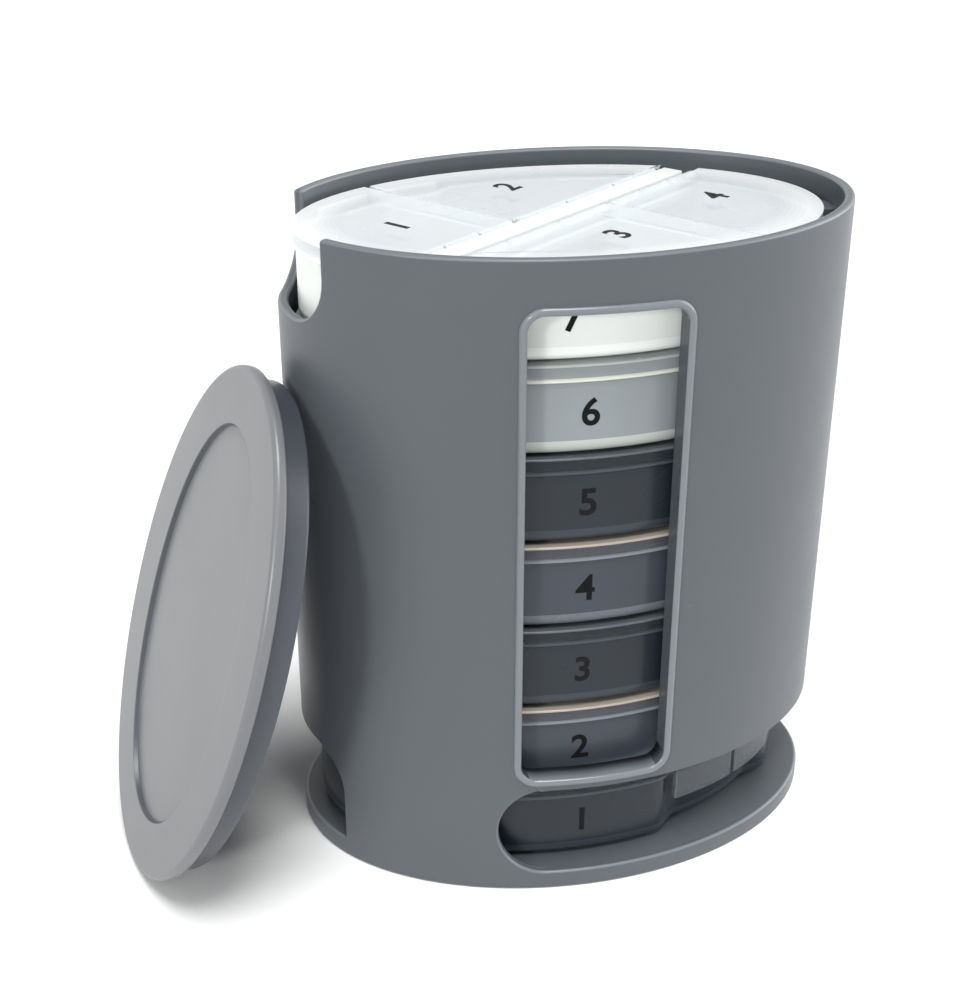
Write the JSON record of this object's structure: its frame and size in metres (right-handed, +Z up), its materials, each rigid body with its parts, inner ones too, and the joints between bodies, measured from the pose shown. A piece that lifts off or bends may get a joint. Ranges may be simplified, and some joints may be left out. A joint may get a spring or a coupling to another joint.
{
  "type": "weekly pill organizer",
  "caption": "Oval upright case with a front window that holds stacked lidded pill trays; the lowest slides out at the foot, and the cap stands beside it.",
  "frame": {"origin": "centre of the case's flat base, on the surface that it stands on", "axes": "+Z up; +X along the oval's long way, towards the end where the lowest tray slides out; -Y towards the window"},
  "size_m": [0.1464, 0.079, 0.1288],
  "materials": {
    "case_grey": "fine satin grey",
    "cap_grey": "fine satin light grey",
    "tray_dark": "satin charcoal",
    "tray_middle": "satin mid grey",
    "tray_light": "satin light grey",
    "tray_white": "satin white",
    "lid_frost": "frosted white",
    "lid_grey": "frosted grey"
  },
  "bodies": {
    "case": {"case": "case_grey"},
    "cap": {"cap": "cap_grey"},
    "tray_1": {"tray_1": "tray_dark"},
    "lid_1_left": {"lid_1_left": "lid_grey"},
    "lid_1_back": {"lid_1_back": "lid_grey"},
    "lid_1_right": {"lid_1_right": "lid_grey"},
    "lid_1_front": {"lid_1_front": "lid_grey"},
    "tray_2": {"tray_2": "tray_middle"},
    "lid_2_left": {"lid_2_left": "lid_grey"},
    "lid_2_back": {"lid_2_back": "lid_grey"},
    "lid_2_right": {"lid_2_right": "lid_grey"},
    "lid_2_front": {"lid_2_front": "lid_grey"},
    "tray_3": {"tray_3": "tray_dark"},
    "lid_3_left": {"lid_3_left": "lid_grey"},
    "lid_3_back": {"lid_3_back": "lid_grey"},
    "lid_3_right": {"lid_3_right": "lid_grey"},
    "lid_3_front": {"lid_3_front": "lid_grey"},
    "tray_4": {"tray_4": "tray_middle"},
    "lid_4_left": {"lid_4_left": "lid_grey"},
    "lid_4_back": {"lid_4_back": "lid_grey"},
    "lid_4_right": {"lid_4_right": "lid_grey"},
    "lid_4_front": {"lid_4_front": "lid_grey"},
    "tray_5": {"tray_5": "tray_dark"},
    "lid_5_left": {"lid_5_left": "lid_grey"},
    "lid_5_back": {"lid_5_back": "lid_grey"},
    "lid_5_right": {"lid_5_right": "lid_grey"},
    "lid_5_front": {"lid_5_front": "lid_grey"},
    "tray_6": {"tray_6": "tray_light"},
    "lid_6_left": {"lid_6_left": "lid_frost"},
    "lid_6_back": {"lid_6_back": "lid_frost"},
    "lid_6_right": {"lid_6_right": "lid_frost"},
    "lid_6_front": {"lid_6_front": "lid_frost"},
    "tray_7": {"tray_7": "tray_white"},
    "lid_7_left": {"lid_7_left": "lid_frost"},
    "lid_7_back": {"lid_7_back": "lid_frost"},
    "lid_7_right": {"lid_7_right": "lid_frost"},
    "lid_7_front": {"lid_7_front": "lid_frost"}
  },
  "joints": [
    {"name": "cap_move_away", "type": "slide", "parent": "case", "child": "cap", "axis": [-1, 0, 0], "range_m": [0, 0.06]},
    {"name": "tray_1_slide_out", "type": "slide", "parent": "case", "child": "tray_1", "axis": [1, 0, 0], "range_m": [0, 0.112]},
    {"name": "tray_2_lift", "type": "slide", "parent": "case", "child": "tray_2", "axis": [0, 0, 1], "range_m": [0, 0.07]},
    {"name": "tray_3_lift", "type": "slide", "parent": "tray_2", "child": "tray_3", "axis": [0, 0, 1], "range_m": [0, 0.07]},
    {"name": "tray_4_lift", "type": "slide", "parent": "tray_3", "child": "tray_4", "axis": [0, 0, 1], "range_m": [0, 0.07]},
    {"name": "tray_5_lift", "type": "slide", "parent": "tray_4", "child": "tray_5", "axis": [0, 0, 1], "range_m": [0, 0.07]},
    {"name": "tray_6_lift", "type": "slide", "parent": "tray_5", "child": "tray_6", "axis": [0, 0, 1], "range_m": [0, 0.07]},
    {"name": "tray_7_lift", "type": "slide", "parent": "tray_6", "child": "tray_7", "axis": [0, 0, 1], "range_m": [0, 0.07]},
    {"name": "lid_1_left_open", "type": "hinge", "parent": "tray_1", "child": "lid_1_left", "pos_m": [-0.0114, -0.00332, 0.0203], "axis": [0.788, 0.6157, 0], "range_deg": [0, 70]},
    {"name": "lid_1_back_open", "type": "hinge", "parent": "tray_1", "child": "lid_1_back", "pos_m": [0.00436, 0.00899, 0.0203], "axis": [0.788, 0.6157, 0], "range_deg": [0, 70]},
    {"name": "lid_1_right_open", "type": "hinge", "parent": "tray_1", "child": "lid_1_right", "pos_m": [0.0088, 0.00332, 0.0203], "axis": [-0.788, -0.6157, 0], "range_deg": [0, 70]},
    {"name": "lid_1_front_open", "type": "hinge", "parent": "tray_1", "child": "lid_1_front", "pos_m": [-0.00696, -0.00899, 0.0203], "axis": [-0.788, -0.6157, 0], "range_deg": [0, 70]},
    {"name": "lid_2_left_open", "type": "hinge", "parent": "tray_2", "child": "lid_2_left", "pos_m": [-0.0114, -0.00332, 0.03775], "axis": [0.788, 0.6157, 0], "range_deg": [0, 70]},
    {"name": "lid_2_back_open", "type": "hinge", "parent": "tray_2", "child": "lid_2_back", "pos_m": [0.00436, 0.00899, 0.03775], "axis": [0.788, 0.6157, 0], "range_deg": [0, 70]},
    {"name": "lid_2_right_open", "type": "hinge", "parent": "tray_2", "child": "lid_2_right", "pos_m": [0.0088, 0.00332, 0.03775], "axis": [-0.788, -0.6157, 0], "range_deg": [0, 70]},
    {"name": "lid_2_front_open", "type": "hinge", "parent": "tray_2", "child": "lid_2_front", "pos_m": [-0.00696, -0.00899, 0.03775], "axis": [-0.788, -0.6157, 0], "range_deg": [0, 70]},
    {"name": "lid_3_left_open", "type": "hinge", "parent": "tray_3", "child": "lid_3_left", "pos_m": [-0.0114, -0.00332, 0.0552], "axis": [0.788, 0.6157, 0], "range_deg": [0, 70]},
    {"name": "lid_3_back_open", "type": "hinge", "parent": "tray_3", "child": "lid_3_back", "pos_m": [0.00436, 0.00899, 0.0552], "axis": [0.788, 0.6157, 0], "range_deg": [0, 70]},
    {"name": "lid_3_right_open", "type": "hinge", "parent": "tray_3", "child": "lid_3_right", "pos_m": [0.0088, 0.00332, 0.0552], "axis": [-0.788, -0.6157, 0], "range_deg": [0, 70]},
    {"name": "lid_3_front_open", "type": "hinge", "parent": "tray_3", "child": "lid_3_front", "pos_m": [-0.00696, -0.00899, 0.0552], "axis": [-0.788, -0.6157, 0], "range_deg": [0, 70]},
    {"name": "lid_4_left_open", "type": "hinge", "parent": "tray_4", "child": "lid_4_left", "pos_m": [-0.0114, -0.00332, 0.07265], "axis": [0.788, 0.6157, 0], "range_deg": [0, 70]},
    {"name": "lid_4_back_open", "type": "hinge", "parent": "tray_4", "child": "lid_4_back", "pos_m": [0.00436, 0.00899, 0.07265], "axis": [0.788, 0.6157, 0], "range_deg": [0, 70]},
    {"name": "lid_4_right_open", "type": "hinge", "parent": "tray_4", "child": "lid_4_right", "pos_m": [0.0088, 0.00332, 0.07265], "axis": [-0.788, -0.6157, 0], "range_deg": [0, 70]},
    {"name": "lid_4_front_open", "type": "hinge", "parent": "tray_4", "child": "lid_4_front", "pos_m": [-0.00696, -0.00899, 0.07265], "axis": [-0.788, -0.6157, 0], "range_deg": [0, 70]},
    {"name": "lid_5_left_open", "type": "hinge", "parent": "tray_5", "child": "lid_5_left", "pos_m": [-0.0114, -0.00332, 0.0901], "axis": [0.788, 0.6157, 0], "range_deg": [0, 70]},
    {"name": "lid_5_back_open", "type": "hinge", "parent": "tray_5", "child": "lid_5_back", "pos_m": [0.00436, 0.00899, 0.0901], "axis": [0.788, 0.6157, 0], "range_deg": [0, 70]},
    {"name": "lid_5_right_open", "type": "hinge", "parent": "tray_5", "child": "lid_5_right", "pos_m": [0.0088, 0.00332, 0.0901], "axis": [-0.788, -0.6157, 0], "range_deg": [0, 70]},
    {"name": "lid_5_front_open", "type": "hinge", "parent": "tray_5", "child": "lid_5_front", "pos_m": [-0.00696, -0.00899, 0.0901], "axis": [-0.788, -0.6157, 0], "range_deg": [0, 70]},
    {"name": "lid_6_left_open", "type": "hinge", "parent": "tray_6", "child": "lid_6_left", "pos_m": [-0.0114, -0.00332, 0.10755], "axis": [0.788, 0.6157, 0], "range_deg": [0, 70]},
    {"name": "lid_6_back_open", "type": "hinge", "parent": "tray_6", "child": "lid_6_back", "pos_m": [0.00436, 0.00899, 0.10755], "axis": [0.788, 0.6157, 0], "range_deg": [0, 70]},
    {"name": "lid_6_right_open", "type": "hinge", "parent": "tray_6", "child": "lid_6_right", "pos_m": [0.0088, 0.00332, 0.10755], "axis": [-0.788, -0.6157, 0], "range_deg": [0, 70]},
    {"name": "lid_6_front_open", "type": "hinge", "parent": "tray_6", "child": "lid_6_front", "pos_m": [-0.00696, -0.00899, 0.10755], "axis": [-0.788, -0.6157, 0], "range_deg": [0, 70]},
    {"name": "lid_7_left_open", "type": "hinge", "parent": "tray_7", "child": "lid_7_left", "pos_m": [-0.0114, -0.00332, 0.125], "axis": [0.788, 0.6157, 0], "range_deg": [0, 90]},
    {"name": "lid_7_back_open", "type": "hinge", "parent": "tray_7", "child": "lid_7_back", "pos_m": [0.00436, 0.00899, 0.125], "axis": [0.788, 0.6157, 0], "range_deg": [0, 90]},
    {"name": "lid_7_right_open", "type": "hinge", "parent": "tray_7", "child": "lid_7_right", "pos_m": [0.0088, 0.00332, 0.125], "axis": [-0.788, -0.6157, 0], "range_deg": [0, 90]},
    {"name": "lid_7_front_open", "type": "hinge", "parent": "tray_7", "child": "lid_7_front", "pos_m": [-0.00696, -0.00899, 0.125], "axis": [-0.788, -0.6157, 0], "range_deg": [0, 90]}
  ],
  "couplings": [
    {"joint": "lid_1_left_open", "follows": "tray_2_lift", "rad_per_m": 17.4},
    {"joint": "lid_1_back_open", "follows": "tray_2_lift", "rad_per_m": 17.4},
    {"joint": "lid_1_right_open", "follows": "tray_2_lift", "rad_per_m": 17.4},
    {"joint": "lid_1_front_open", "follows": "tray_2_lift", "rad_per_m": 17.4},
    {"joint": "lid_2_left_open", "follows": "tray_3_lift", "rad_per_m": 17.4},
    {"joint": "lid_2_back_open", "follows": "tray_3_lift", "rad_per_m": 17.4},
    {"joint": "lid_2_right_open", "follows": "tray_3_lift", "rad_per_m": 17.4},
    {"joint": "lid_2_front_open", "follows": "tray_3_lift", "rad_per_m": 17.4},
    {"joint": "lid_3_left_open", "follows": "tray_4_lift", "rad_per_m": 17.4},
    {"joint": "lid_3_back_open", "follows": "tray_4_lift", "rad_per_m": 17.4},
    {"joint": "lid_3_right_open", "follows": "tray_4_lift", "rad_per_m": 17.4},
    {"joint": "lid_3_front_open", "follows": "tray_4_lift", "rad_per_m": 17.4},
    {"joint": "lid_4_left_open", "follows": "tray_5_lift", "rad_per_m": 17.4},
    {"joint": "lid_4_back_open", "follows": "tray_5_lift", "rad_per_m": 17.4},
    {"joint": "lid_4_right_open", "follows": "tray_5_lift", "rad_per_m": 17.4},
    {"joint": "lid_4_front_open", "follows": "tray_5_lift", "rad_per_m": 17.4},
    {"joint": "lid_5_left_open", "follows": "tray_6_lift", "rad_per_m": 17.4},
    {"joint": "lid_5_back_open", "follows": "tray_6_lift", "rad_per_m": 17.4},
    {"joint": "lid_5_right_open", "follows": "tray_6_lift", "rad_per_m": 17.4},
    {"joint": "lid_5_front_open", "follows": "tray_6_lift", "rad_per_m": 17.4},
    {"joint": "lid_6_left_open", "follows": "tray_7_lift", "rad_per_m": 17.4},
    {"joint": "lid_6_back_open", "follows": "tray_7_lift", "rad_per_m": 17.4},
    {"joint": "lid_6_right_open", "follows": "tray_7_lift", "rad_per_m": 17.4},
    {"joint": "lid_6_front_open", "follows": "tray_7_lift", "rad_per_m": 17.4}
  ]
}
